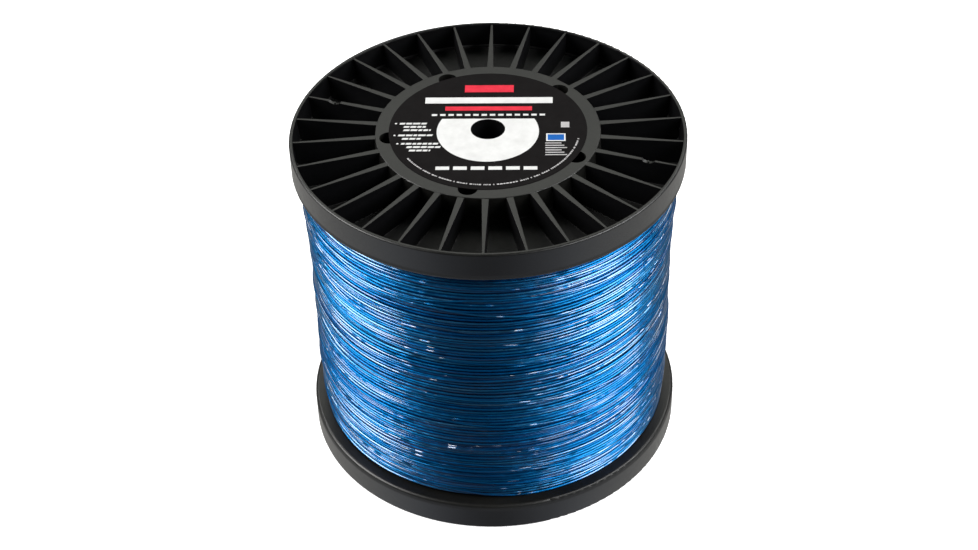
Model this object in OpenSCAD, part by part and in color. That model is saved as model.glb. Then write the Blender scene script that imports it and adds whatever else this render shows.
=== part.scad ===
// Bulk spool of fishing line: two ribbed flanges screwed to a hollow barrel that is wound full of line.
// The spool stands upright. Z runs along its axis, and the origin is the centre of its underside.
// A flange is drawn with its outer face at z = 0 and its depth upwards, then turned over for the top.

/* [Spool] */
// Diameter of the flanges
flange_d = 190; // [184:1:200]
// Height of the whole spool
spool_h = 176; // [120:1:220]
// Diameter of the bore for the spindle
bore_d = 16.1; // [12:0.1:17]

/* [Flange] */
// Depth of the rim, from its lip to the line side
rim_h = 15.2; // [13:0.1:18]
// Thickness of the rim at its lip
rim_t = 1.8; // [1.6:0.1:2.4]
// Thickness of the web that closes the pockets
web_t = 2.2; // [1.8:0.1:3]
// Number of ribs
rib_count = 30; // [20:1:36]
// Thickness of a rib where it leaves the hub
rib_hub_t = 3.2; // [2:0.1:4]
// Thickness of a rib where it meets the rim
rib_rim_t = 0.9; // [0.8:0.1:2]
// Depth of the rib tops below the lip
rib_drop = 0.5; // [0.2:0.1:1]

/* [Hub] */
// Diameter of the raised disc
hub_d = 107.8; // [107.4:0.1:109]
// Diameter of the circle of drive holes
hole_circle_d = 94.8; // [92:0.1:95]
// Diameter of a drive hole
hole_d = 9.2; // [8.6:0.1:9.4]
// Number of drive holes, and of screws below them
hole_count = 5; // [3:1:6]
// Diameter of the boss around the bore
boss_d = 26.4; // [25:0.1:32]
// Depth of the boss
boss_h = 32; // [28:0.5:40]

/* [Barrel] */
// Outer diameter of the barrel
barrel_d = 110.4; // [110:0.2:116]
// Thickness of the barrel wall
barrel_t = 2.3; // [2:0.1:2.5]

/* [Wound line] */
// Diameter of the line pack at its middle
pack_d = 179.6; // [150:0.2:182]
// How far the pack swells towards the top flange, on the radius
pack_swell = 1.1; // [0:0.1:1.5]
// How far the pack shrinks at its two ends, on the radius
pack_shrink = 1.1; // [0:0.1:2]

/* [Label] */
// Diameter of the paper label
label_d = 94.8; // [70:0.2:100]
// Thickness of the label
label_t = 0.2; // [0.1:0.05:0.25]

/* [Hidden] */
$fn = 96;
eps = 0.01;
gap = 0.1;
rim_r = flange_d / 2;
hub_r = hub_d / 2;
bore_r = bore_d / 2;
hole_r = hole_d / 2;
hole_circle_r = hole_circle_d / 2;

lip_round = 1;
lip_inner_round = 0.2;
line_side_round = 1.8;
rim_draft = 0.9;
floor_z = rim_h - web_t;
floor_fillet = 1;

disc_z = 0.25;
disc_t = 2.5;
disc_round = 0.35;
hub_draft = 0.7;
spigot_r = barrel_d / 2 - barrel_t - 0.2;
spigot_t = 1.5;
spigot_end = rim_h + 9;
well_end = spigot_end + 0.4;
stiffener_t = 1.5;

rib_step = 360 / rib_count;
rib_phase = rib_step / 2;
gate_rib_angle = rib_phase + rib_step;
gate_r = 79.3;
gate_len = 6.5;
gate_depth = 1.3;
nub_r = 0.45;
nub_h = 0.7;

hole_step = 360 / hole_count;
hole_phase = 28; // the holes stand 2 degrees off the ribs
well_wall = 1.4;
drive_depth = 14;
seat_r = 4.2;
seat_floor_z = 22;

port_r = 4;
port_hole_r = 2.05;
port_web_t = 4;
port_z = well_end + gap;
bottom_turn = hole_step - 2 * hole_phase;

screw_head_r = 3.8;
screw_head_h = 2.6;
screw_shank_r = 1.95;
screw_shank_len = 20;
screw_pass_r = 2.2;
screw_point_len = 2.5;
screw_point_r = 0.4;
screw_head_round = 0.8;
recess_len = 4.4;
recess_w = 1.1;
recess_depth = 1.4;

arbor_r = 11.2;
arbor_t = 2.2;
arbor_seat = 8;

pack_r = pack_d / 2;
line_start_r = 1.5;
line_start_z = rim_h + 14;

tape_w = 24;
tape_angle = 34;
tape_t = 0.2;
tape_r = pack_r + 0.45;
tape_z = 90;

black = "#2b2b29";
dark = "#3a3a3c";
line_blue = "#1f6fb5";
paper = "#242021";
steel = "#a8abad";
clear_tape = "#d9dde0";

// A closed 2-D box between two corners
module box2(x0, y0, x1, y1) {
    translate([x0, y0]) square([x1 - x0, y1 - y0]);
}

// Half section of the rim and web: rounded outside, a drafted inner wall and a fillet at the floor
module rim_section() {
    inner_lip = rim_r - rim_t;
    inner_floor = inner_lip - rim_draft;
    polygon([
        [inner_lip + lip_inner_round, 0],
        [rim_r - lip_round, 0],
        [rim_r, lip_round],
        [rim_r, rim_h - line_side_round],
        [rim_r - line_side_round, rim_h],
        [hub_r - hub_draft - eps, rim_h],
        [hub_r - hub_draft - eps, floor_z],
        [inner_floor - floor_fillet, floor_z],
        [inner_floor, floor_z - floor_fillet],
        [inner_lip, lip_inner_round],
    ]);
    translate([rim_r - lip_round, lip_round]) circle(lip_round);
    translate([inner_lip + lip_inner_round, lip_inner_round]) circle(lip_inner_round);
    translate([rim_r - line_side_round, rim_h - line_side_round]) circle(line_side_round);
    difference() {
        box2(inner_floor - floor_fillet, floor_z - floor_fillet, inner_floor + eps, floor_z + eps);
        translate([inner_floor - floor_fillet, floor_z - floor_fillet]) circle(floor_fillet);
    }
}

// Half section of the hub: raised disc with a rounded edge, drafted wall, spigot and central boss
module hub_section() {
    spigot_in = spigot_r - spigot_t;
    box2(0, disc_z, hub_r - disc_round, disc_z + disc_t);
    translate([hub_r - disc_round, disc_z + disc_round]) circle(disc_round);
    polygon([
        [spigot_in, disc_z + disc_t - eps],
        [spigot_in, spigot_end],
        [spigot_r, spigot_end],
        [spigot_r, rim_h],
        [hub_r + hub_draft, rim_h],
        [hub_r + hub_draft, floor_z],
        [hub_r, disc_z + disc_round],
        [hub_r - disc_round - eps, disc_z + disc_round],
    ]);
    box2(0, disc_z + disc_t - eps, boss_d / 2, boss_h);
}

// One rib between the hub and the rim, tapered in plan
module rib() {
    from = hub_r - 1;
    to = rim_r - rim_t / 2;
    translate([0, 0, rib_drop])
        linear_extrude(floor_z + eps - rib_drop)
            polygon([
                [from, -rib_hub_t / 2], [to, -rib_rim_t / 2],
                [to, rib_rim_t / 2], [from, rib_hub_t / 2],
            ]);
}

// Small nub that the mould's gate leaves in its notch
module gate_nub() {
    translate([gate_r, 0, rib_drop + gate_depth - nub_h])
        cylinder(h = nub_h + nub_r, r = nub_r, $fn = 24);
}

// Shallow round-bottomed notch that clears the gate below the rib top
module gate_notch() {
    notch_r = (gate_len * gate_len / 4 + gate_depth * gate_depth) / (2 * gate_depth);
    translate([gate_r, 0, rib_drop + gate_depth - notch_r])
        rotate([90, 0, 0])
            cylinder(h = 2 * rib_hub_t, r = notch_r, center = true);
}

// Tube of a drive hole, cut off within the spigot's wall so that the barrel can pass over it
module well_tube() {
    from = disc_z + disc_t - eps;
    intersection() {
        translate([hole_circle_r, 0, from])
            cylinder(h = well_end - from, r = hole_r + well_wall);
        cylinder(h = well_end + 1, r = spigot_r - 0.3);
    }
}

// Everything drilled for one screw: drive hole, screw seat and clearance hole
module well_hole() {
    translate([hole_circle_r, 0, 0]) {
        translate([0, 0, -1]) cylinder(h = drive_depth + 1, r = hole_r);
        translate([0, 0, drive_depth - eps]) cylinder(h = seat_floor_z - drive_depth + eps, r = seat_r);
        translate([0, 0, seat_floor_z - eps]) cylinder(h = boss_h, r = screw_pass_r, $fn = 48);
    }
}

// Radial stiffener under the disc, from the boss to the hub wall
module stiffener() {
    from = boss_d / 2 - 1;
    translate([from, -stiffener_t / 2, disc_z + disc_t - eps])
        cube([spigot_r - spigot_t / 2 - from, stiffener_t, rim_h - disc_z - disc_t]);
}

// One flange moulding, outer face down
module flange() {
    difference() {
        union() {
            rotate_extrude($fn = 180) {
                rim_section();
                hub_section();
            }
            difference() {
                for (i = [0:rib_count - 1])
                    rotate([0, 0, rib_phase + i * rib_step]) rib();
                for (side = [0, 180])
                    rotate([0, 0, gate_rib_angle + side]) gate_notch();
            }
            for (side = [0, 180])
                rotate([0, 0, gate_rib_angle + side]) gate_nub();
            for (i = [0:hole_count - 1])
                rotate([0, 0, hole_phase + i * hole_step]) well_tube();
            for (i = [0:2 * hole_count - 1])
                rotate([0, 0, hole_phase + i * hole_step / 2]) stiffener();
        }
        for (i = [0:hole_count - 1])
            rotate([0, 0, hole_phase + i * hole_step]) well_hole();
        translate([0, 0, -1]) cylinder(h = boss_h + 2, r = bore_r);
        translate([0, 0, boss_h - arbor_seat]) cylinder(h = arbor_seat + 1, r = arbor_r + gap);
    }
}

// One pan-head screw in its seat, head down, with a cross recess
module screw() {
    translate([hole_circle_r, 0, seat_floor_z]) {
        difference() {
            translate([0, 0, -screw_head_h])
                rotate_extrude($fn = 48)
                    polygon([
                        [0, 0],
                        [screw_head_r - screw_head_round, 0],
                        [screw_head_r, screw_head_round],
                        [screw_head_r, screw_head_h],
                        [0, screw_head_h],
                    ]);
            for (turn = [0, 90])
                rotate([0, 0, turn])
                    translate([-recess_len / 2, -recess_w / 2, -screw_head_h - 1])
                        cube([recess_len, recess_w, recess_depth + 1]);
        }
        translate([0, 0, -eps]) cylinder(h = screw_shank_len, r = screw_shank_r, $fn = 48);
        translate([0, 0, screw_shank_len - 2 * eps])
            cylinder(h = screw_point_len, r1 = screw_shank_r, r2 = screw_point_r, $fn = 48);
    }
}

// The screws of one flange, outer face down
module screw_ring() {
    for (i = [0:hole_count - 1])
        rotate([0, 0, hole_phase + i * hole_step]) screw();
}

// Places a flange or its screws at the bottom, turned so that the screws meet the barrel's ports
module at_bottom() {
    rotate([0, 0, bottom_turn]) children();
}

// Places a flange or its screws at the top, outer face up
module at_top() {
    translate([0, 0, spool_h]) rotate([180, 0, 0]) children();
}

module bottom_flange() {
    color(black) at_bottom() flange();
}

module top_flange() {
    color(black) at_top() flange();
}

// Repeats a shape at each of the barrel's screw ports
module at_ports() {
    for (i = [0:hole_count - 1])
        rotate([0, 0, i * hole_step - hole_phase]) children();
}

// Tube that carries the line, with a screw port along its inside at each drive hole
module barrel() {
    outer = barrel_d / 2;
    inner = outer - barrel_t;
    color(dark)
        difference() {
            union() {
                translate([0, 0, rim_h + gap])
                    linear_extrude(spool_h - 2 * (rim_h + gap))
                        difference() {
                            circle(outer);
                            circle(inner);
                        }
                at_ports()
                    translate([0, 0, port_z])
                        linear_extrude(spool_h - 2 * port_z) {
                            translate([hole_circle_r, 0]) circle(port_r);
                            box2(hole_circle_r, -port_web_t / 2, inner + 1, port_web_t / 2);
                        }
            }
            at_ports()
                translate([hole_circle_r, 0, 0]) cylinder(h = spool_h, r = port_hole_r, $fn = 48);
            translate([0, 0, line_start_z])
                rotate([0, 90, 0])
                    cylinder(h = outer + 1, r = line_start_r, $fn = 48);
        }
}

// Thin tube between the two bosses that leads a spindle from one bore into the other
module arbor_tube() {
    from = boss_h - arbor_seat + gap;
    color(dark)
        translate([0, 0, from])
            linear_extrude(spool_h - 2 * from)
                difference() {
                    circle(arbor_r);
                    circle(arbor_r - arbor_t);
                }
}

module bottom_flange_screws() {
    color(steel) at_bottom() screw_ring();
}

module top_flange_screws() {
    color(steel) at_top() screw_ring();
}

// The whole length of line on the barrel, as one closed ring with its slight swell
module wound_line() {
    inner = barrel_d / 2 + gap;
    low = rim_h + gap;
    high = spool_h - rim_h - gap;
    color(line_blue)
        rotate_extrude($fn = 180)
            polygon([
                [inner, low],
                [pack_r - pack_shrink, low],
                [pack_r - pack_shrink / 3, low + 6],
                [pack_r + 0.2, low + 25],
                [pack_r, low + (high - low) * 0.5],
                [pack_r + pack_swell * 0.7, high - 25],
                [pack_r + pack_swell, high - 8],
                [pack_r + pack_swell - pack_shrink, high],
                [inner, high],
            ]);
}

// Strip of tape on the far side that holds the free end of the line down
module line_end_tape() {
    color(clear_tape)
        rotate([0, 0, 90 - tape_angle / 2])
            rotate_extrude(angle = tape_angle, $fn = 180)
                box2(tape_r, tape_z - tape_w / 2, tape_r + tape_t, tape_z + tape_w / 2);
}

// Round paper label with a hole for the spindle
module top_label() {
    color(paper)
        translate([0, 0, spool_h - disc_z])
            linear_extrude(label_t)
                difference() {
                    circle(label_d / 2, $fn = 180);
                    circle(bore_r + 0.1);
                }
}

bottom_flange();
top_flange();
barrel();
arbor_tube();
bottom_flange_screws();
top_flange_screws();
wound_line();
line_end_tape();
top_label();
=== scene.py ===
"""Looks of a bulk fishing line spool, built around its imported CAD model.

Metres, Z up, with the camera on the -Y side."""

import math
import random

import bmesh
import bpy
import numpy as np
from mathutils import Matrix, Vector


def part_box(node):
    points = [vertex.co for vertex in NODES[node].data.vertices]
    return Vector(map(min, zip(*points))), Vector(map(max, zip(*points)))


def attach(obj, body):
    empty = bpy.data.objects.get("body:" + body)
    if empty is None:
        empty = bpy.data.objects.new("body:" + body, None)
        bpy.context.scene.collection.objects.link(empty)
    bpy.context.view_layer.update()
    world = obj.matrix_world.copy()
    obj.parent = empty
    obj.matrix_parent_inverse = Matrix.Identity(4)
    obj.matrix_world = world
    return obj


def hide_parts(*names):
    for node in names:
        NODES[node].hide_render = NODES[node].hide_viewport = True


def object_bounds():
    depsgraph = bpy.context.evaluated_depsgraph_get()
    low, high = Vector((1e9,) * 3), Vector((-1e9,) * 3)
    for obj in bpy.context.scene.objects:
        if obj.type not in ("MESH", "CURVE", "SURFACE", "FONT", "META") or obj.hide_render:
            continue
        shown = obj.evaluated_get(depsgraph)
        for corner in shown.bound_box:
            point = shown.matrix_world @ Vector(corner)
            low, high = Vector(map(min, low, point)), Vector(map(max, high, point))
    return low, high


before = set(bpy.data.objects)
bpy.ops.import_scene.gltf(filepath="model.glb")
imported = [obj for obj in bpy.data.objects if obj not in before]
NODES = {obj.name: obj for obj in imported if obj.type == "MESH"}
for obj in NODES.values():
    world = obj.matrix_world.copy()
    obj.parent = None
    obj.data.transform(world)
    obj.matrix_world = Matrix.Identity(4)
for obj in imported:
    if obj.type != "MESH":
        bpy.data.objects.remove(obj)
cad_box = [list(map(float, corner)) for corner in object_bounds()]

MM = 0.001
SPOOL_H = cad_box[1][2]
FLANGE_R = round(cad_box[1][0], 5)
random.seed(11)
rng = np.random.default_rng(11)


# ---------------------------------------------------------------- node helpers


class Tree:
    """Short calls to add and link the nodes of a shader tree."""

    def __init__(self, tree):
        self.tree = tree

    def add(self, kind, **values):
        node = self.tree.nodes.new(kind)
        for key, value in values.items():
            setattr(node, key, value)
        return node

    def link(self, a, out, b, into):
        self.tree.links.new(a.outputs[out], b.inputs[into])

    def ramp(self, source, out, stops):
        node = self.add("ShaderNodeValToRGB")
        band = node.color_ramp
        while len(band.elements) < len(stops):
            band.elements.new(0.5)
        for element, (place, colour) in zip(band.elements, stops, strict=True):
            element.position = place
            element.color = (*colour, 1.0)
        self.link(source, out, node, "Fac")
        return node

    def span(self, source, out, low, high, from_low=0.0, from_high=1.0):
        node = self.add("ShaderNodeMapRange")
        node.inputs["From Min"].default_value = from_low
        node.inputs["From Max"].default_value = from_high
        node.inputs["To Min"].default_value = low
        node.inputs["To Max"].default_value = high
        self.link(source, out, node, "Value")
        return node

    def math(self, operation, a, b=None):
        """A sum of one or two values, each a number or a (node, output) pair."""
        node = self.add("ShaderNodeMath", operation=operation)
        for index, value in enumerate((a, b)):
            if isinstance(value, tuple):
                self.tree.links.new(value[0].outputs[value[1]], node.inputs[index])
            elif value is not None:
                node.inputs[index].default_value = value
        return node


class Nodes(Tree):
    """A material's node tree, with its shader and its texture coordinates."""

    def __init__(self, name):
        self.material = bpy.data.materials.new(name)
        self.material.use_nodes = True
        super().__init__(self.material.node_tree)
        self.tree.nodes.clear()
        out = self.add("ShaderNodeOutputMaterial")
        self.shader = self.add("ShaderNodeBsdfPrincipled")
        self.link(self.shader, "BSDF", out, "Surface")
        self.coords = self.add("ShaderNodeTexCoord")

    def set(self, **values):
        for key, value in values.items():
            self.shader.inputs[key.replace("_", " ")].default_value = value

    def drive(self, source, out, into):
        """Links a node's output to one of the shader's inputs."""
        self.link(source, out, self.shader, into)

    def attribute(self, name):
        return self.add("ShaderNodeAttribute", attribute_name=name)

    def stretched(self, scale):
        node = self.add("ShaderNodeMapping")
        node.inputs["Scale"].default_value = scale
        self.link(self.coords, "Object", node, "Vector")
        return node

    def noise(self, scale, detail=3.0, rough=0.55, vector=None, distortion=0.0):
        node = self.add("ShaderNodeTexNoise")
        node.inputs["Scale"].default_value = scale
        node.inputs["Detail"].default_value = detail
        node.inputs["Roughness"].default_value = rough
        node.inputs["Distortion"].default_value = distortion
        if vector is None:
            self.link(self.coords, "Object", node, "Vector")
        else:
            self.link(vector, "Vector", node, "Vector")
        return node

    def bump(self, source, out, distance, strength=1.0, before=None):
        """The shader's bump, laid over an earlier one if there is one."""
        node = self.add("ShaderNodeBump")
        node.inputs["Distance"].default_value = distance
        node.inputs["Strength"].default_value = strength
        self.link(source, out, node, "Height")
        if before is not None:
            self.link(before, "Normal", node, "Normal")
        self.drive(node, "Normal", "Normal")
        return node


# ---------------------------------------------------------------- materials


def black_plastic(name, low, high, roughness, matt_z=None, spec=0.5):
    """Satin injection-moulded plastic: fine grain, soft flow marks, a little dust in the colour.

    The mould's floor at matt_z is duller, and that fades out within 1.5 millimetres of it."""
    m = Nodes(name)
    flow = m.noise(38, 4, 0.6, distortion=0.4)
    m.drive(m.ramp(flow, "Fac", [(0.3, low), (0.72, high)]), "Color", "Base Color")
    spread = m.span(m.noise(420, 3, 0.6), "Fac", roughness - 0.06, roughness + 0.08)
    if matt_z is None:
        m.drive(spread, "Result", "Roughness")
    else:
        place = m.add("ShaderNodeSeparateXYZ")
        m.link(m.coords, "Object", place, "Vector")
        away = m.math("ABSOLUTE", (m.math("SUBTRACT", (place, "Z"), matt_z), "Value"))
        dull = m.span(away, "Value", 0.28, 0.0, 0.3 * MM, 1.5 * MM)
        m.drive(m.math("ADD", (spread, "Result"), (dull, "Result")), "Value", "Roughness")
    coarse = m.bump(flow, "Fac", 0.06 * MM, 0.35)
    m.bump(m.noise(2600, 2, 0.5), "Fac", 0.012 * MM, 0.8, coarse)
    m.set(IOR=1.52, Specular_IOR_Level=spec)
    return m.material


TIP = math.radians(45)


def facing_normal(m, share):
    """The way the pack's surface faces, tipped up by TIP, with a share of the strand's own roundness."""

    def vector_math(operation, *inputs):
        node = m.add("ShaderNodeVectorMath", operation=operation)
        for index, value in enumerate(inputs):
            if isinstance(value, tuple):
                node.inputs[index].default_value = value
            else:
                m.tree.links.new(value, node.inputs[index])
        return node.outputs["Vector"]

    outward = vector_math("MULTIPLY", m.coords.outputs["Object"], (1.0, 1.0, 0.0))
    outward = vector_math("NORMALIZE", outward)
    level, rise = math.cos(TIP) * (1 - share), math.sin(TIP) * (1 - share)
    tipped = vector_math("MULTIPLY_ADD", outward, (level, level, level), (0.0, 0.0, rise))
    own = m.add("ShaderNodeNewGeometry").outputs["Normal"]
    both = vector_math("MULTIPLY_ADD", own, (share, share, share), tipped)
    return vector_math("NORMALIZE", both)


LINE_BLUES = [
    (0.0, (0.0004, 0.026, 0.105)),
    (0.3, (0.001, 0.078, 0.245)),
    (0.55, (0.002, 0.106, 0.29)),
    (0.78, (0.009, 0.132, 0.31)),
    (1.0, (0.055, 0.21, 0.405)),
]
# Multiplies the strand's blue: painted shade on the side of each strand that is turned away from up and out.
PAINTED_STRAND_SHADE = [(0.2, (0.05, 0.2, 0.3)), (0.7, (0.5, 0.68, 0.78)), (0.95, (1.0, 1.0, 1.0))]


def line_colour(m, path_vector, across):
    """Blue that changes from strand to strand and along each one, with painted shade on a strand's underside
    and in the deeper layers.
    """
    streak = m.noise(9.41, 3, 0.6, vector=path_vector)
    shade = m.math("ADD", (m.attribute("strand_tone_and_depth_shade"), "Fac"), (m.span(streak, "Fac", -0.15, 0.15), "Result"))
    m.drive(m.span(shade, "Value", 0.46, 0.32), "Result", "Roughness")
    deep = m.add("ShaderNodeMix", data_type="RGBA", blend_type="MULTIPLY")
    deep.inputs["Factor"].default_value = 1.0
    m.link(m.ramp(shade, "Value", LINE_BLUES), "Color", deep, "A")
    m.link(m.ramp(across, "Fac", PAINTED_STRAND_SHADE), "Color", deep, "B")
    m.drive(deep, "Result", "Base Color")


def line_gleam(m, path, across):
    """A clear surface that gleams in broken lines along a strand, left off its underside as painted shade."""
    apart = m.add("ShaderNodeCombineXYZ")
    apart.inputs["Y"].default_value = 7.3
    m.link(path, "Fac", apart, "X")
    gleam = m.span(m.noise(11.3, 2, 0.6, vector=apart), "Fac", 0.02, 1.0, 0.44, 0.61)
    # No clear surface on the strand's underside: painted shade where the neighbouring strands cover it.
    upper = m.span(across, "Fac", 0.0, 1.0, 0.35, 0.75)
    m.drive(m.math("MULTIPLY", (gleam, "Result"), (upper, "Result")), "Value", "Coat Weight")


def line_relief(m, path_vector):
    """The strands' slow bends under the surface, and the small kinks that catch the light on it."""
    lie = m.bump(m.noise(14.73, 3, 0.6, vector=path_vector), "Fac", 2.2 * MM)
    m.tree.links.new(facing_normal(m, 0.4), lie.inputs["Normal"])
    hump = m.span(m.noise(22.37, 1, 0.5, vector=path_vector), "Fac", 0.0, 1.0, 0.55, 0.71)
    hump.interpolation_type = "SMOOTHSTEP"
    kinks = m.add("ShaderNodeBump")
    kinks.inputs["Distance"].default_value = 2.0 * MM
    m.link(hump, "Result", kinks, "Height")
    m.tree.links.new(facing_normal(m, 0.72), kinks.inputs["Normal"])
    m.drive(kinks, "Normal", "Coat Normal")
    m.bump(hump, "Result", 0.6 * MM, 1.0, lie)


def line_material(name):
    """Clear blue monofilament: a tinted glow from inside the pack under a hard, clear surface."""
    m = Nodes(name)
    path, across = m.attribute("path"), m.attribute("across")
    path_vector = m.add("ShaderNodeCombineXYZ")
    m.link(path, "Fac", path_vector, "X")
    line_colour(m, path_vector, across)
    line_gleam(m, path, across)
    line_relief(m, path_vector)
    m.set(Metallic=0.85, IOR=1.45, Specular_IOR_Level=0.0, Coat_Roughness=0.09, Coat_IOR=2.1)
    return m.material


def core_material(name):
    """The pack behind its outer strands, in darker blues than they have: painted shade of the pack's depths.
    """
    m = Nodes(name)
    layers = m.add("ShaderNodeTexWave", wave_type="BANDS", bands_direction="Z")
    layers.inputs["Scale"].default_value = 290
    layers.inputs["Distortion"].default_value = 2.5
    layers.inputs["Detail Scale"].default_value = 0.4
    m.link(m.coords, "Object", layers, "Vector")
    # Darker blues than the strands: painted shade of the pack's depths.
    blues = m.ramp(layers, "Fac", [(0.2, (0.0, 0.02, 0.09)), (0.9, (0.0, 0.07, 0.26))])
    m.drive(blues, "Color", "Base Color")
    m.bump(layers, "Fac", 0.4 * MM)
    m.set(Roughness=0.3, Metallic=0.4)
    return m.material


def paper_material(name, low, high, spec=0.2):
    """Printed label stock: a little uneven ink, fine fibre, a soft gloss."""
    m = Nodes(name)
    m.drive(m.ramp(m.noise(160, 4, 0.62), "Fac", [(0.3, low), (0.7, high)]), "Color", "Base Color")
    fibre = m.noise(2200, 3, 0.6)
    m.drive(m.span(fibre, "Fac", 0.34, 0.5), "Result", "Roughness")
    m.bump(fibre, "Fac", 0.01 * MM, 0.5)
    m.set(IOR=1.48, Specular_IOR_Level=spec)
    return m.material


def tape_material(name):
    """Clear film tape with fine wrinkles over the strands."""
    m = Nodes(name)
    wrinkle = m.noise(90, 4, 0.6, vector=m.stretched((1.0, 1.0, 4.0)))
    film = m.ramp(wrinkle, "Fac", [(0.2, (0.80, 0.86, 0.9)), (0.8, (0.93, 0.96, 0.97))])
    m.drive(film, "Color", "Base Color")
    m.drive(m.span(wrinkle, "Fac", 0.08, 0.3), "Result", "Roughness")
    m.bump(wrinkle, "Fac", 0.12 * MM, 0.6)
    m.set(Transmission_Weight=0.85, IOR=1.46)
    return m.material


def steel_material(name):
    """Zinc-plated screw steel: fine grain and faint yellow and grey stains."""
    m = Nodes(name)
    stain = m.noise(240, 4, 0.6)
    zinc = m.ramp(stain, "Fac", [(0.25, (0.42, 0.43, 0.44)), (0.75, (0.66, 0.64, 0.58))])
    m.drive(zinc, "Color", "Base Color")
    m.drive(m.span(stain, "Fac", 0.22, 0.48), "Result", "Roughness")
    m.bump(m.noise(3000, 2, 0.5), "Fac", 0.01 * MM, 0.6)
    m.set(Metallic=1.0)
    return m.material


def paint(obj, material):
    """Gives an object one material, in place of those it came with."""
    obj.data.materials.clear()
    obj.data.materials.append(material)


def dress(node, material):
    """Gives a CAD node's object a new material in each of its slots, on the object."""
    for slot in NODES[node].material_slots:
        slot.link = "OBJECT"
        slot.material = material


# ---------------------------------------------------------------- mesh helpers


def add_object(name, mesh, material, slot, *replaced):
    """Links a mesh as a piece of the object, riding on the only body."""
    obj = bpy.data.objects.new(name, mesh)
    bpy.context.scene.collection.objects.link(obj)
    paint(obj, material)
    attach(obj, "root")
    if replaced:
        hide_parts(*replaced)
    return obj


def smooth_by_angle(mesh, degrees):
    mesh.polygons.foreach_set("use_smooth", [True] * len(mesh.polygons))
    mesh.set_sharp_from_angle(angle=math.radians(degrees))


def weighted_normals(obj):
    """Applies a weighted normal modifier, so that the flat faces stay flat beside their rounded edges."""
    modifier = obj.modifiers.new("normals", "WEIGHTED_NORMAL")
    modifier.keep_sharp = True
    modifier.weight = 70
    graph = bpy.context.evaluated_depsgraph_get()
    mesh = bpy.data.meshes.new_from_object(obj.evaluated_get(graph))
    obj.modifiers.remove(modifier)
    old = obj.data
    obj.data = mesh
    bpy.data.meshes.remove(old)


def turned_normals(mesh, rounds, depth_of, up):
    """Sets exact normals on a turned edge.

    Each round is (from r, to r, centre r, radius), and a flat stretch has a radius of 0."""
    normals = [corner.vector.copy() for corner in mesh.corner_normals]
    for index, loop in enumerate(mesh.loops):
        x, y, z = mesh.vertices[loop.vertex_index].co
        r, depth = math.hypot(x, y), depth_of(z)
        for start, stop, centre, radius in rounds:
            if start <= r <= stop and depth <= radius + 0.005 * MM:
                out, rise = (r - centre, radius - depth) if radius else (0.0, 1.0)
                length = math.hypot(out, rise)
                if length > 0:
                    normals[index] = Vector((out * x / r, out * y / r, rise * up)) / length
                break
    mesh.normals_split_custom_set(normals)


# ---------------------------------------------------------------- flanges

LIP_ROUND, LIP_INNER_ROUND, RIM_T = 1.0 * MM, 0.2 * MM, 1.8 * MM
SLACK = 0.01 * MM
LIP_OUTER_R = FLANGE_R - LIP_ROUND
LIP_INNER_R = FLANGE_R - RIM_T + LIP_INNER_ROUND
LIP = [
    (LIP_OUTER_R, FLANGE_R + 0.1 * MM, LIP_OUTER_R, LIP_ROUND),
    (LIP_INNER_R + SLACK, LIP_OUTER_R, LIP_OUTER_R, 0.0),
    (LIP_INNER_R - LIP_INNER_ROUND - SLACK, LIP_INNER_R + SLACK, LIP_INNER_R, LIP_INNER_ROUND),
]
RIB_TOP = 0.5 * MM
FLOOR_Z = 13.0 * MM
NEAR = 0.03 * MM
EDGE_ROUND = 0.26 * MM
SHARP_EDGE = math.radians(38)
RIBS_FROM_R, RIBS_TO_DEPTH = 53 * MM, 14.5 * MM
HUB_FOOT_R, HUB_WALL_R, RIM_WALL_R = 55 * MM, 55.2 * MM, 90 * MM
WALLS_FROM_R, WALLS_TO_R, BORE_WALLS_R = 56 * MM, 93.3 * MM, 50 * MM


def pocket_walls(obj, material):
    """Gives the upright walls in the flange's pockets and bore a darker, less glossy plastic: painted shade
    in these recesses.
    """
    mesh = obj.data
    mesh.materials.append(material)
    for face in mesh.polygons:
        r = math.hypot(face.center.x, face.center.y)
        inside = WALLS_FROM_R < r < WALLS_TO_R or r < BORE_WALLS_R
        if abs(face.normal.z) < 0.5 and inside:
            face.material_index = 1


def moulded_edge(edge, depth_of):
    """Whether an edge is one that the mould rounds: a rib's top, a rib's root or an upright corner."""
    if len(edge.link_faces) != 2 or edge.calc_face_angle(0) < SHARP_EDGE:
        return False
    r0, r1 = (math.hypot(vert.co.x, vert.co.y) for vert in edge.verts)
    z0, z1 = (depth_of(vert.co.z) for vert in edge.verts)
    if min(r0, r1) < RIBS_FROM_R or max(z0, z1) > RIBS_TO_DEPTH:
        return False
    rib_top = max(abs(z0 - RIB_TOP), abs(z1 - RIB_TOP)) < NEAR and abs(r0 - r1) > 0.1 * MM
    on_floor = max(abs(z0 - FLOOR_Z), abs(z1 - FLOOR_Z)) < NEAR
    root = on_floor and (abs(r0 - r1) > 2 * MM or max(r0, r1) < HUB_FOOT_R)
    upright = abs(z0 - z1) > 3 * MM and (max(r0, r1) < HUB_WALL_R or min(r0, r1) > RIM_WALL_R)
    return rib_top or root or upright


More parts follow.
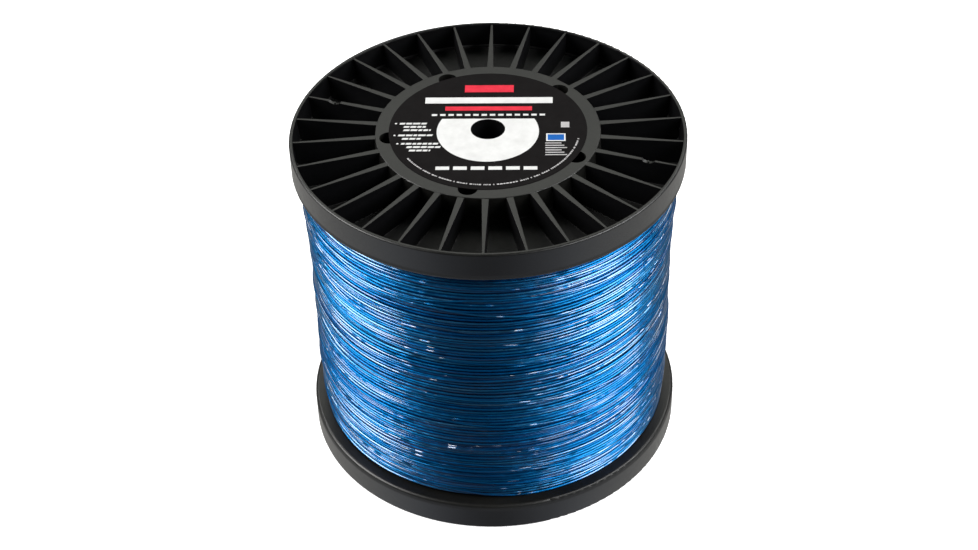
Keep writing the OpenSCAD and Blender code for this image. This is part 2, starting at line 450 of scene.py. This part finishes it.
def rounded_flange(node, name, material, depth_of, up):
    """The CAD flange with its moulded edges rounded; depth_of(z) is the depth below its outer face."""
    bm = bmesh.new()
    bm.from_mesh(NODES[node].data)
    bmesh.ops.remove_doubles(bm, verts=bm.verts, dist=0.001 * MM)
    bmesh.ops.dissolve_limit(bm, angle_limit=math.radians(0.3), verts=bm.verts, edges=bm.edges)
    picked = [edge for edge in bm.edges if moulded_edge(edge, depth_of)]
    bmesh.ops.bevel(
        bm, geom=picked, offset=EDGE_ROUND, offset_type="OFFSET", segments=3, profile=0.5,
        affect="EDGES", clamp_overlap=False, loop_slide=True, material=-1,
    )
    mesh = bpy.data.meshes.new(name)
    bm.to_mesh(mesh)
    bm.free()
    if "custom_normal" in mesh.attributes:
        mesh.attributes.remove(mesh.attributes["custom_normal"])
    smooth_by_angle(mesh, 36)
    obj = add_object(name, mesh, material, "black_plastic", node)
    weighted_normals(obj)
    turned_normals(obj.data, LIP, depth_of, up)
    pocket_walls(obj, pocket_shade_black)


BLACK_LOW, BLACK_HIGH = (0.0030, 0.0030, 0.0026), (0.0058, 0.0057, 0.0048)
# Darker colours and a weaker gloss for the pocket and bore walls: painted shade in the recesses.
POCKET_SHADE_LOW, POCKET_SHADE_HIGH = (0.0014, 0.0014, 0.0018), (0.0026, 0.0026, 0.0030)
top_black = black_plastic("top_flange_black", BLACK_LOW, BLACK_HIGH, 0.36, matt_z=SPOOL_H - FLOOR_Z)
bottom_black = black_plastic("bottom_flange_black", BLACK_LOW, BLACK_HIGH, 0.36, matt_z=FLOOR_Z)
pocket_shade_black = black_plastic("pocket_wall_painted_shade", POCKET_SHADE_LOW, POCKET_SHADE_HIGH, 0.4, spec=0.22)
rounded_flange("top_flange", "top_flange_moulding", top_black, lambda z: SPOOL_H - z, 1)
rounded_flange("bottom_flange", "bottom_flange_moulding", bottom_black, lambda z: z, -1)

# ---------------------------------------------------------------- wound line

LINE_R = 0.6 * MM
LINE_PITCH = 1.85 * MM
FACING = math.radians(45)
PACK_LOW = 15.4 * MM
PACK_HIGH = SPOOL_H - 15.4 * MM
FIRST_TURN, LAST_TURN = PACK_LOW + LINE_R, PACK_HIGH - LINE_R
PACK_SWELL = 1.1 * MM
PACK_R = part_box("wound_line")[1].x - PACK_SWELL
LOW_BELLY, LOW_BELLY_Z = 0.5 * MM, 0.32 * SPOOL_H
TOP_BELLY, TOP_BELLY_Z = 1.2 * MM, 0.82 * SPOOL_H
BELLY_REACH = 18 * MM
LOW_PULL, TOP_PULL, PULL_REACH = 1.2 * MM, 0.35 * MM, 6 * MM
PIECE_TRIANGLES = 190000


def pack_radius(z):
    """The pack's outer radius: a slight belly low down, a fuller one near the top, drawn in at both ends."""
    z = np.asarray(z, dtype=float)
    low_belly = LOW_BELLY * np.exp(-(((z - LOW_BELLY_Z) / BELLY_REACH) ** 2))
    top_belly = TOP_BELLY * np.exp(-(((z - TOP_BELLY_Z) / BELLY_REACH) ** 2))
    low_pull = LOW_PULL * np.exp((PACK_LOW - z) / PULL_REACH)
    top_pull = TOP_PULL * np.exp((z - PACK_HIGH) / PULL_REACH)
    return PACK_R + low_belly + top_belly - (low_pull + top_pull)


def wander(angle, z, size, harmonics, seed):
    """A slow wave that nearly repeats from turn to turn, so that neighbouring strands run together."""
    draw = np.random.default_rng(seed)
    total = np.zeros_like(angle)
    for k in range(1, harmonics + 1):
        for _ in range(2):
            phase, along = draw.uniform(0, 2 * np.pi), draw.uniform(40, 220)
            total += draw.normal() / k * np.sin(k * angle + phase + along * z)
    return size * total / 2.2


def turn_noise(turns, knots, size, draw):
    """Smooth noise along the wound line with a few knots a turn."""
    places = np.arange(0, turns.max() + 2, 1 / knots)
    return size * np.interp(turns, places, draw.normal(size=len(places)))


def winding(pitches, start_z, direction, depth, loose, draw, per_turn):
    """Centre line of consecutive turns: their axial places, their wander and their height in the pack."""
    count = len(pitches)
    steps = np.arange(count * per_turn + 1) / per_turn
    angle = steps * 2 * np.pi
    places = start_z + direction * np.concatenate([[0], np.cumsum(pitches)])
    z = np.interp(steps, np.arange(count + 1), places)
    z = z + wander(angle, z, 0.25 * MM, 4, 20)
    z = z + turn_noise(steps, 4.6, loose, draw)
    z = z + turn_noise(steps, 10.7, loose * 0.4, draw)
    z = np.clip(z, FIRST_TURN, LAST_TURN)
    r = pack_radius(z) - LINE_R - depth + turn_noise(steps, 7.7, min(loose, 0.22 * MM), draw)
    return angle, r, z, steps


def tube(name, angle, r, z, steps, strand_tone_and_depth_shade, sides, material):
    """A closed tube along a winding, with flat ends."""
    count = len(angle)
    around_strand = np.arange(sides) * 2 * np.pi / sides
    radius = r[:, None] + LINE_R * np.cos(around_strand)[None]
    height = z[:, None] + LINE_R * np.sin(around_strand)[None]
    verts = np.stack(
        [radius * np.cos(angle)[:, None], radius * np.sin(angle)[:, None], height], axis=-1
    ).reshape(-1, 3)
    ring = np.arange(sides)
    after = (ring + 1) % sides
    base = np.arange(count - 1)[:, None] * sides
    faces = np.stack(
        [base + ring, base + sides + ring, base + sides + after, base + after], axis=-1
    ).reshape(-1, 4).tolist()
    faces.append(ring.tolist())
    faces.append(((count - 1) * sides + ring[::-1]).tolist())
    mesh = bpy.data.meshes.new(name)
    mesh.from_pydata(verts.tolist(), [], faces)
    mesh.polygons.foreach_set("use_smooth", [True] * (len(faces) - 2) + [False] * 2)
    per_point = {
        "strand_tone_and_depth_shade": np.repeat(strand_tone_and_depth_shade, sides),
        "path": np.repeat(steps, sides),
        "across": np.tile(np.cos(around_strand - FACING), count),
    }
    for key, values in per_point.items():
        data = mesh.attributes.new(key, "FLOAT", "POINT").data
        data.foreach_set("value", values.astype(np.float32))
    add_object(name, mesh, material, "line", "wound_line")


def wind_layer(name, spacing, start_z, direction, depth, loose, shade, seed, per_turn, sides):
    """A layer of turns over the whole pack, in pieces of a size that the exporter takes."""
    draw = np.random.default_rng(seed)
    pitches = spacing * (LAST_TURN - FIRST_TURN) / spacing.sum()
    angle, r, z, steps = winding(pitches, start_z, direction, depth, loose, draw, per_turn)
    # Each strand's tone changes at random along it; the lower tones given to the deeper layers are painted
    # shade.
    strand_tone_and_depth_shade = shade + turn_noise(steps, 4.7, 0.14, draw) + turn_noise(steps, 17.3, 0.12, draw)
    most = PIECE_TRIANGLES // (per_turn * sides * 2)
    for part, start in enumerate(range(0, len(pitches), most), 1):
        turns = min(most, len(pitches) - start)
        cut = slice(start * per_turn, (start + turns) * per_turn + 1)
        tube(f"{name}_{part}", angle[cut], r[cut], z[cut], steps[cut], strand_tone_and_depth_shade[cut], sides, line_look)


def pack_core(name, material, count=128):
    """The closed ring that fills the pack behind its outer strands."""
    outside = [(pack_radius(z) - 2.3 * MM, z) for z in np.linspace(PACK_LOW, PACK_HIGH, 40)]
    inside = [(55.4 * MM, z) for z in np.linspace(PACK_HIGH, PACK_LOW, 6)]
    profile = outside + inside
    n = len(profile)
    verts, faces = [], []
    for i in range(count):
        a = 2 * math.pi * i / count
        verts += [(r * math.cos(a), r * math.sin(a), z) for r, z in profile]
        j = (i + 1) % count
        for k in range(n):
            m = (k + 1) % n
            faces.append((i * n + k, j * n + k, j * n + m, i * n + m))
    mesh = bpy.data.meshes.new(name)
    mesh.from_pydata(verts, [], faces)
    smooth_by_angle(mesh, 40)
    add_object(name, mesh, material, "line", "wound_line")


line_look = line_material("line_blue")
TURNS = int((LAST_TURN - FIRST_TURN) / LINE_PITCH)
CROSSING_TURNS = 17
# The low shade values of the under and middle layers paint the shade deep in the pack.
wind_layer(
    "line_under", np.full(TURNS, 1.0), FIRST_TURN, 1,
    depth=1.4 * MM, loose=0.1 * MM, shade=0.1, seed=21, per_turn=96, sides=6,
)
wind_layer(
    "line_middle", rng.uniform(0.9, 1.1, TURNS), FIRST_TURN + 0.92 * MM, 1,
    depth=0.65 * MM, loose=0.2 * MM, shade=0.25, seed=22, per_turn=132, sides=6,
)
wind_layer(
    "line_outer", rng.uniform(0.85, 1.15, TURNS), FIRST_TURN, 1,
    depth=0.1 * MM, loose=0.2 * MM, shade=0.62, seed=23, per_turn=144, sides=8,
)
wind_layer(
    "line_crossing", rng.uniform(0.3, 1.7, CROSSING_TURNS), LAST_TURN, -1,
    depth=-0.2 * MM, loose=3.2 * MM, shade=0.57, seed=24, per_turn=144, sides=8,
)
pack_core("line_pack_core", core_material("line_depth"))

# ---------------------------------------------------------------- label print

PRINT_LIFT = 0.03 * MM
PRINT_ROOT = 0.01 * MM
LABEL_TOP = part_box("top_label")[1].z


class Print:
    """Flat printed shapes on the label in one ink, as one closed mesh.

    Outlines are in millimetres, x to the right and y away from the camera."""

    def __init__(self, name, material, lift=1.0):
        self.name, self.material = name, material
        self.heights = (LABEL_TOP - PRINT_ROOT, LABEL_TOP + PRINT_LIFT * lift)
        self.verts, self.faces = [], []

    def shape(self, outline):
        """A filled outline."""
        n, base = len(outline), len(self.verts)
        for z in self.heights:
            self.verts += [(x * MM, y * MM, z) for x, y in outline]
        self.faces.append([base + i for i in range(n)][::-1])
        self.faces.append([base + n + i for i in range(n)])
        for i in range(n):
            j = (i + 1) % n
            self.faces.append([base + i, base + j, base + n + j, base + n + i])

    def ring(self, outer, inner):
        """The band between two outlines with the same number of points."""
        n, base = len(outer), len(self.verts)
        for z in self.heights:
            self.verts += [(x * MM, y * MM, z) for x, y in outer]
            self.verts += [(x * MM, y * MM, z) for x, y in inner]
        o0, i0, o1, i1 = base, base + n, base + 2 * n, base + 3 * n
        for i in range(n):
            j = (i + 1) % n
            self.faces.append([o1 + i, o1 + j, i1 + j, i1 + i])
            self.faces.append([o0 + j, o0 + i, i0 + i, i0 + j])
            self.faces.append([o0 + i, o0 + j, o1 + j, o1 + i])
            self.faces.append([i0 + j, i0 + i, i1 + i, i1 + j])

    def bar(self, x0, x1, y0, y1, lean=0.0):
        """A plain bar, upright or leaning."""
        s = (y1 - y0) * lean
        self.shape([(x0, y0), (x1, y0), (x1 + s, y1), (x0 + s, y1)])

    def dashes(self, x0, x1, y0, y1, width, gap):
        """An even row of plain dashes, centred between x0 and x1."""
        count = int((x1 - x0 + gap) / (width + gap))
        x = (x0 + x1 - count * (width + gap) + gap) / 2
        for _ in range(count):
            self.bar(x, x + width, y0, y1)
            x += width + gap

    def finish(self):
        mesh = bpy.data.meshes.new(self.name)
        mesh.from_pydata(self.verts, [], self.faces)
        add_object(self.name, mesh, self.material, "label")


white_ink = Print(
    "label_print_white", paper_material("ink_white", (0.56, 0.56, 0.55), (0.65, 0.65, 0.64)), lift=1.3,
)
red_ink = Print("label_print_red", paper_material("ink_red", (0.50, 0.012, 0.03), (0.66, 0.025, 0.05)))
grey_ink = Print("label_print_grey", paper_material("ink_grey", (0.36, 0.35, 0.35), (0.46, 0.45, 0.45)))
blue_ink = Print("label_print_blue", paper_material("ink_blue", (0.0, 0.07, 0.30), (0.0, 0.10, 0.38)))


def print_field(centre_y=-1.7, radius=24.4, top=8.5, bore_r=8.25):
    """The white field around the bore: a circle cut off straight at its top."""
    first = math.asin((top - centre_y) / radius)
    sweep = np.linspace(math.pi - first, 2 * math.pi + first, 90)
    field = [(radius * math.cos(a), centre_y + radius * math.sin(a)) for a in sweep]
    field += [(x, top) for x in np.linspace(field[-1][0], field[0][0], 20)[1:-1]]
    angles = [math.atan2(y, x) for x, y in field]
    white_ink.ring(field, [(bore_r * math.cos(a), bore_r * math.sin(a)) for a in angles])


def print_titles():
    """Plain bars and rows of dashes above and below the white field, in place of any lettering."""
    red_ink.bar(-12.0, 12.0, 31.0, 37.0)
    white_ink.bar(-31.0, 31.0, 21.5, 26.5)
    red_ink.bar(-21.0, 21.0, 15.4, 18.8)
    white_ink.dashes(-28.0, 28.0, 11.0, 12.5, 2.6, 1.4)
    white_ink.dashes(-25.0, 25.0, -32.4, -29.8, 6.4, 1.8)


TEXT_BULLETS = ((-44.2, 4.7), (-44.4, -4.9), (-42.6, -11.7))
TEXT_LINES = (
    (4.0, -42.5, -29.5), (1.3, -40.5, -30.5), (-1.4, -40.5, -28.0),
    (-5.6, -42.8, -27.0), (-8.4, -40.8, -31.5),
    (-12.4, -41.0, -24.0), (-15.1, -38.3, -22.8), (-17.8, -37.0, -27.5),
)


def print_text(height=1.35, lean=0.3, gap=0.55, dot_r=0.55):
    """Three dotted paragraphs of random dashes at the left."""
    for x, y in TEXT_BULLETS:
        turns = np.linspace(0, 2 * math.pi, 13)[:-1]
        white_ink.shape([(x + dot_r * math.cos(t), y + dot_r * math.sin(t)) for t in turns])
    for y, x, end in TEXT_LINES:
        while x < end:
            width = random.uniform(1.6, 3.6)
            white_ink.bar(x, x + min(width, end - x + 0.5), y, y + height, lean)
            x += width + gap


def print_swatches():
    """A small grey square, a framed blue swatch and six grey lines at the right."""
    grey_ink.bar(34.9, 38.9, 1.2, 5.7)
    swatch = [(27.8, -9.9), (37.0, -9.9), (37.0, -3.8), (27.8, -3.8)]
    blue_ink.shape(swatch)
    white_ink.ring(swatch, [(28.5, -9.2), (36.3, -9.2), (36.3, -4.5), (28.5, -4.5)])
    for i in range(6):
        y = -21.1 + i * 1.85
        grey_ink.bar(27.4, 37.6 - 1.3 * (i % 3), y, y + 0.75)


def print_edge(inner_r=43.4, outer_r=44.2):
    """Short grey dashes of random length along the label's near edge."""
    a = math.radians(212)
    while a < math.radians(349):
        w = math.radians(random.uniform(0.5, 1.7))
        arc = np.linspace(a, a + w, 3)
        outside = [(outer_r * math.cos(t), outer_r * math.sin(t)) for t in arc]
        inside = [(inner_r * math.cos(t), inner_r * math.sin(t)) for t in arc[::-1]]
        grey_ink.shape(outside + inside)
        a += w + math.radians(random.choice((0.5, 0.5, 0.5, 1.5)))


print_field()
print_titles()
print_text()
print_swatches()
print_edge()
for ink in (white_ink, red_ink, grey_ink, blue_ink):
    ink.finish()

# ---------------------------------------------------------------- carried-over CAD nodes

GREY_LOW, GREY_HIGH = (0.03, 0.03, 0.032), (0.045, 0.045, 0.048)
dress("top_label", paper_material("label_black", (0.0042, 0.0034, 0.0037), (0.0064, 0.0054, 0.0057), 0.05))
dress("line_end_tape", tape_material("clear_tape"))
dress("barrel", black_plastic("barrel_grey", GREY_LOW, GREY_HIGH, 0.45))
dress("arbor_tube", black_plastic("tube_grey", GREY_LOW, GREY_HIGH, 0.45))
for screws in ("top_flange_screws", "bottom_flange_screws"):
    dress(screws, steel_material(screws + "_zinc"))

# ---------------------------------------------------------------- studio

SKY = (0.026, 0.027, 0.029)
TABLE = [
    (0.0, (0.165, 0.17, 0.19)),
    (0.14, (0.36, 0.38, 0.44)),
    (0.30, (0.82, 0.86, 0.95)),
    (0.45, (0.95, 0.96, 0.97)),
    (0.70, (0.86, 0.85, 0.82)),
    (1.0, (0.60, 0.59, 0.55)),
]


def studio_world():
    """A dark room over a white table that is dimmest in front of the spool and brightest at its sides."""
    world = bpy.data.worlds.new("studio")
    bpy.context.scene.world = world
    world.use_nodes = True
    w = Tree(world.node_tree)
    look = w.add("ShaderNodeTexCoord")
    split = w.add("ShaderNodeSeparateXYZ")
    w.link(look, "Generated", split, "Vector")
    aside = w.math("ABSOLUTE", (split, "X"))
    front = w.math("MULTIPLY", (split, "Y"), -1.0)
    turn = w.math("ARCTAN2", (aside, "Value"), (front, "Value"))
    share = w.math("DIVIDE", (turn, "Value"), math.pi)
    mix = w.add("ShaderNodeMix", data_type="RGBA")
    mix.inputs["A"].default_value = (*SKY, 1.0)
    w.link(w.span(split, "Z", 0.0, 1.0, -0.1, -0.4), "Result", mix, "Factor")
    w.link(w.ramp(share, "Value", TABLE), "Color", mix, "B")
    sky = w.tree.nodes["Background"]
    w.link(mix, "Result", sky, "Color")
    sky.inputs["Strength"].default_value = 1.0


MIDDLE = (0, 0, 0.09)


def around(azimuth, elevation, distance):
    """A place seen from the spool's middle. Azimuth 0 is towards the camera, and positive is to its right."""
    a, e = math.radians(azimuth), math.radians(elevation)
    return (
        distance * math.cos(e) * math.sin(a),
        -distance * math.cos(e) * math.cos(a),
        MIDDLE[2] + distance * math.sin(e),
    )


def soft_light(name, place, width, height, power, colour=(1, 1, 1)):
    """A soft rectangular light that faces the spool's middle."""
    data = bpy.data.lights.new(name, "AREA")
    data.shape = "RECTANGLE"
    data.size, data.size_y = width, height
    data.energy = power
    data.color = colour
    obj = bpy.data.objects.new(name, data)
    bpy.context.scene.collection.objects.link(obj)
    obj.location = place
    obj.rotation_mode = "QUATERNION"
    obj.rotation_quaternion = (Vector(MIDDLE) - Vector(place)).to_track_quat("-Z", "Y")


def pale_floor(size=12):
    """A plain, evenly pale floor just under the spool."""
    m = Nodes("pale_floor")
    speckle = m.ramp(m.noise(9, 3, 0.5), "Fac", [(0.2, (0.86, 0.86, 0.86)), (0.8, (0.89, 0.89, 0.89))])
    m.drive(speckle, "Color", "Base Color")
    m.set(Roughness=0.7, Emission_Color=(1.0, 1.0, 1.0, 1.0), Emission_Strength=0.6)
    mesh = bpy.data.meshes.new("floor")
    bm = bmesh.new()
    bmesh.ops.create_grid(bm, x_segments=8, y_segments=8, size=size)
    bm.to_mesh(mesh)
    bm.free()
    floor = bpy.data.objects.new("floor", mesh)
    bpy.context.scene.collection.objects.link(floor)
    floor.location = (0, 0, cad_box[0][2] - 0.2 * MM)
    paint(floor, m.material)
    floor.visible_glossy = False
    floor.visible_diffuse = False


studio_world()
soft_light("left_softbox", around(-84, 34, 1.5), 1.1, 0.8, 27, (1.0, 0.99, 0.98))
soft_light("right_softbox", around(74, 34, 1.5), 1.1, 0.8, 27, (0.98, 0.99, 1.0))
soft_light("back_softbox", around(180, 48, 1.6), 1.6, 0.9, 6.2, (0.98, 1.0, 0.93))
for side in (-1, 1):
    soft_light("edge_strip", around(side * 136, 40, 1.6), 0.4, 0.4, 3.4)
soft_light("right_fill", around(40, 30, 1.8), 0.6, 0.8, 4.4)
pale_floor()
bpy.context.scene.view_settings.view_transform = "Standard"

# ---------------------------------------------------------------- camera

SENSOR, LENS_MM = 36, 67.649
DISTANCE, AIM_Z = 0.9386, 0.08075
ELEVATION, TURN = math.radians(40.25), math.radians(2.12)
YAW, PITCH, ROLL = (math.radians(v) for v in (-0.080, 0.196, 1.457))


def turned(matrix, i, j, angle):
    """Rotates the camera's axes i and j, as the rows of a matrix."""
    out = matrix.copy()
    c, s = math.cos(angle), math.sin(angle)
    out[i], out[j] = c * matrix[i] - s * matrix[j], s * matrix[i] + c * matrix[j]
    return out


def add_camera():
    """The camera, DISTANCE away from a point AIM_Z up the axis, with a slight yaw, pitch and roll."""
    spin = Matrix.Rotation(TURN, 3, "Z")
    right = spin @ Vector((1, 0, 0))
    up = spin @ Vector((0, math.sin(ELEVATION), math.cos(ELEVATION)))
    ahead = spin @ Vector((0, math.cos(ELEVATION), -math.sin(ELEVATION)))
    axes = Matrix((right, up, ahead))
    axes = turned(axes, 0, 2, YAW)
    axes = turned(axes, 1, 2, PITCH)
    axes = turned(axes, 0, 1, ROLL)
    data = bpy.data.cameras.new("camera")
    data.sensor_width = SENSOR
    data.lens = LENS_MM
    data.clip_start, data.clip_end = 0.05, 60
    camera = bpy.data.objects.new("camera", data)
    bpy.context.scene.collection.objects.link(camera)
    place = Vector((0, 0, AIM_Z)) - DISTANCE * ahead
    pose = Matrix((axes[0], axes[1], -axes[2])).transposed().to_4x4()
    camera.matrix_world = Matrix.Translation(place) @ pose
    bpy.context.scene.camera = camera


add_camera()
